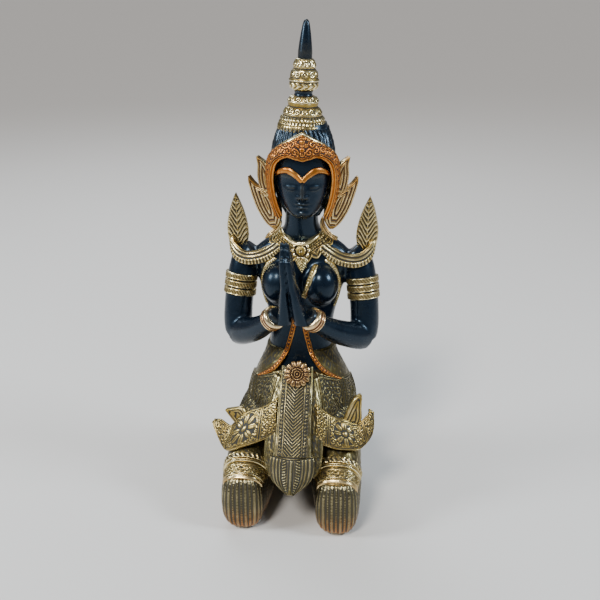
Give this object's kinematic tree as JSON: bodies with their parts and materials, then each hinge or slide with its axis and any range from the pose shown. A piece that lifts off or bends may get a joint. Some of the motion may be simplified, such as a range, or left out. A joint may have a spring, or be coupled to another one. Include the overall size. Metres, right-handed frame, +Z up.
{
  "type": "kneeling deity statue",
  "caption": "Kneeling crowned deity with joined palms, cast in bronze with gilt crown, jewels and patterned dress, for standing on a shelf or floor.",
  "frame": {"origin": "middle of the footprint's bounding box, on the surface that the statue stands on", "axes": "+Z up through the crown, -Y the way the figure faces, +X to the right of someone who looks at its face"},
  "size_m": [0.1311, 0.1601, 0.38],
  "materials": {
    "gilt_bronze": "aged gilt with dark patina in the carving, and blue-black lacquer on the skin"
  },
  "bodies": {
    "root": {"deity_statue": "gilt_bronze"}
  },
  "joints": []
}
